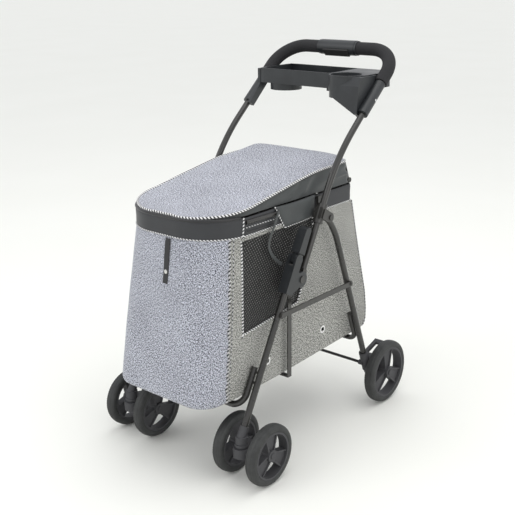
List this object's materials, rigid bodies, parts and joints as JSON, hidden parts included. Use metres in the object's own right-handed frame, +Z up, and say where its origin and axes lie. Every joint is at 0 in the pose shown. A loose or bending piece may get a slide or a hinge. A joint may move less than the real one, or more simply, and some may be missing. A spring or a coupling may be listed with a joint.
{
  "type": "pet stroller",
  "caption": "Folding pet stroller with a fabric cabin, mesh side windows, sloping canopy, parent tray, foam-grip handle, twin-wheel front casters and braked rear wheels.",
  "frame": {"origin": "on the floor, under the middle of the whole stroller's box", "axes": "+Z up, -Y towards the front (the way it rolls forward), +Y towards the handle, +X towards the side with the forward cup holder"},
  "size_m": [0.5086, 0.768, 0.9792],
  "materials": {
    "frame_steel": "satin black powder coat",
    "dark_plastic": "fine moulded grain",
    "wheel_plastic": "satin moulded",
    "button_plastic": "matt",
    "base_board": "matt",
    "tyre_rubber": "matt solid foam rubber",
    "bright_metal": "bright plated",
    "grip_foam": "matt foam",
    "grey_fabric": "heather canvas weave",
    "black_nylon": "plain woven nylon",
    "window_mesh": "open knitted mesh",
    "mat_fabric": "padded nylon"
  },
  "bodies": {
    "rear_frame": {"rear_leg_left": "frame_steel", "rear_leg_right": "frame_steel", "rear_cross_tube": "frame_steel", "rear_brace_rod": "frame_steel", "wheel_housings": "dark_plastic", "rear_axles": "bright_metal"},
    "handle": {"handle_tube": "frame_steel", "grip_left": "grip_foam", "grip_right": "grip_foam", "handle_housing": "dark_plastic", "tray": "dark_plastic", "tray_clamps": "dark_plastic", "tray_rivets": "bright_metal", "upper_brackets": "dark_plastic", "leg_pivot_pins": "frame_steel"},
    "release_button": {"release_button": "button_plastic"},
    "front_frame": {"front_leg_left": "frame_steel", "front_leg_right": "frame_steel", "knee_housings": "dark_plastic", "knee_pins": "frame_steel", "front_cross_tube": "frame_steel", "floor_hanger": "frame_steel", "caster_sockets": "dark_plastic", "front_panel": "grey_fabric", "side_panel_left": "grey_fabric", "side_panel_right": "grey_fabric", "rear_panel": "grey_fabric", "floor_board": "base_board", "floor_mat": "mat_fabric", "window_meshes": "window_mesh", "eyelets": "bright_metal", "front_strap": "black_nylon"},
    "rim": {"rim_frame": "frame_steel", "rim_band": "black_nylon", "window_flaps": "black_nylon"},
    "canopy": {"canopy_cover": "grey_fabric", "canopy_sides": "black_nylon", "canopy_bow": "frame_steel"},
    "rear_wheel_left": {"rear_tyre_left": "tyre_rubber", "rear_hub_left": "wheel_plastic"},
    "brake_left": {"brake_pedal_left": "dark_plastic"},
    "latch_left": {"latch_left": "dark_plastic"},
    "link_left": {"side_link_left": "frame_steel"},
    "caster_left": {"caster_fork_left": "dark_plastic", "caster_axle_left": "bright_metal"},
    "front_wheel_left_inner": {"front_tyre_left_inner": "tyre_rubber", "front_hub_left_inner": "wheel_plastic"},
    "front_wheel_left_outer": {"front_tyre_left_outer": "tyre_rubber", "front_hub_left_outer": "wheel_plastic"},
    "rear_wheel_right": {"rear_tyre_right": "tyre_rubber", "rear_hub_right": "wheel_plastic"},
    "brake_right": {"brake_pedal_right": "dark_plastic"},
    "latch_right": {"latch_right": "dark_plastic"},
    "link_right": {"side_link_right": "frame_steel"},
    "caster_right": {"caster_fork_right": "dark_plastic", "caster_axle_right": "bright_metal"},
    "front_wheel_right_inner": {"front_tyre_right_inner": "tyre_rubber", "front_hub_right_inner": "wheel_plastic"},
    "front_wheel_right_outer": {"front_tyre_right_outer": "tyre_rubber", "front_hub_right_outer": "wheel_plastic"}
  },
  "joints": [
    {"name": "fold", "type": "hinge", "parent": "handle", "child": "front_frame", "pos_m": [0, -0.068, 0.456], "axis": [-1, 0, 0], "range_deg": [-97, 0], "deforming": ["front_panel", "side_panel_left", "side_panel_right", "rear_panel", "window_meshes", "front_strap"]},
    {"name": "rear_leg_fold", "type": "hinge", "parent": "rear_frame", "child": "handle", "pos_m": [0, 0.046, 0.585], "axis": [1, 0, 0], "range_deg": [-50.05, 0.5]},
    {"name": "rim_fold", "type": "hinge", "parent": "handle", "child": "rim", "pos_m": [0, 0.046, 0.585], "axis": [-1, 0, 0], "range_deg": [-97.5, 0.5]},
    {"name": "link_left_fold", "type": "hinge", "parent": "rear_frame", "child": "link_left", "pos_m": [-0.1995, 0.14277, 0.386], "axis": [1, 0, 0], "range_deg": [-20.82, 0.5]},
    {"name": "link_right_fold", "type": "hinge", "parent": "rear_frame", "child": "link_right", "pos_m": [0.1995, 0.14277, 0.386], "axis": [1, 0, 0], "range_deg": [-20.82, 0.5]},
    {"name": "canopy_open", "type": "hinge", "parent": "rim", "child": "canopy", "pos_m": [0, 0.201, 0.643], "axis": [-1, 0, 0], "range_deg": [0, 50]},
    {"name": "caster_left_swivel", "type": "hinge", "parent": "front_frame", "child": "caster_left", "pos_m": [-0.189, -0.282, 0.096], "axis": [0, 0, 1], "continuous": true},
    {"name": "front_wheel_left_inner_spin", "type": "hinge", "parent": "caster_left", "child": "front_wheel_left_inner", "pos_m": [-0.138, -0.244, 0.076], "axis": [1, 0, 0], "continuous": true},
    {"name": "front_wheel_left_outer_spin", "type": "hinge", "parent": "caster_left", "child": "front_wheel_left_outer", "pos_m": [-0.24, -0.244, 0.076], "axis": [1, 0, 0], "continuous": true},
    {"name": "rear_wheel_left_spin", "type": "hinge", "parent": "rear_frame", "child": "rear_wheel_left", "pos_m": [-0.2185, 0.296, 0.088], "axis": [1, 0, 0], "continuous": true},
    {"name": "brake_left_press", "type": "hinge", "parent": "rear_frame", "child": "brake_left", "pos_m": [-0.168, 0.262, 0.134], "axis": [1, 0, 0], "range_deg": [-14, 0]},
    {"name": "latch_left_squeeze", "type": "hinge", "parent": "front_frame", "child": "latch_left", "pos_m": [-0.189, -0.07701, 0.50255], "axis": [-1, 0, 0], "range_deg": [0, 10], "stiffness_Nm_per_rad": 0.6, "springref_deg": -5.73},
    {"name": "caster_right_swivel", "type": "hinge", "parent": "front_frame", "child": "caster_right", "pos_m": [0.189, -0.282, 0.096], "axis": [0, 0, 1], "continuous": true},
    {"name": "front_wheel_right_inner_spin", "type": "hinge", "parent": "caster_right", "child": "front_wheel_right_inner", "pos_m": [0.138, -0.244, 0.076], "axis": [1, 0, 0], "continuous": true},
    {"name": "front_wheel_right_outer_spin", "type": "hinge", "parent": "caster_right", "child": "front_wheel_right_outer", "pos_m": [0.24, -0.244, 0.076], "axis": [1, 0, 0], "continuous": true},
    {"name": "rear_wheel_right_spin", "type": "hinge", "parent": "rear_frame", "child": "rear_wheel_right", "pos_m": [0.2185, 0.296, 0.088], "axis": [1, 0, 0], "continuous": true},
    {"name": "brake_right_press", "type": "hinge", "parent": "rear_frame", "child": "brake_right", "pos_m": [0.168, 0.262, 0.134], "axis": [1, 0, 0], "range_deg": [-14, 0]},
    {"name": "latch_right_squeeze", "type": "hinge", "parent": "front_frame", "child": "latch_right", "pos_m": [0.189, -0.07701, 0.50255], "axis": [-1, 0, 0], "range_deg": [0, 10], "stiffness_Nm_per_rad": 0.6, "springref_deg": -5.73},
    {"name": "release_press", "type": "slide", "parent": "handle", "child": "release_button", "axis": [0, 0.7547, 0.6561], "range_m": [0, 0.004], "stiffness_N_per_m": 400, "springref_m": -0.002}
  ],
  "couplings": [
    {"joint": "rear_leg_fold", "follows": "fold", "ratio": 0.51086},
    {"joint": "rim_fold", "follows": "fold", "ratio": 1},
    {"joint": "link_left_fold", "follows": "fold", "ratio": 0.20946},
    {"joint": "link_right_fold", "follows": "fold", "ratio": 0.20946}
  ]
}
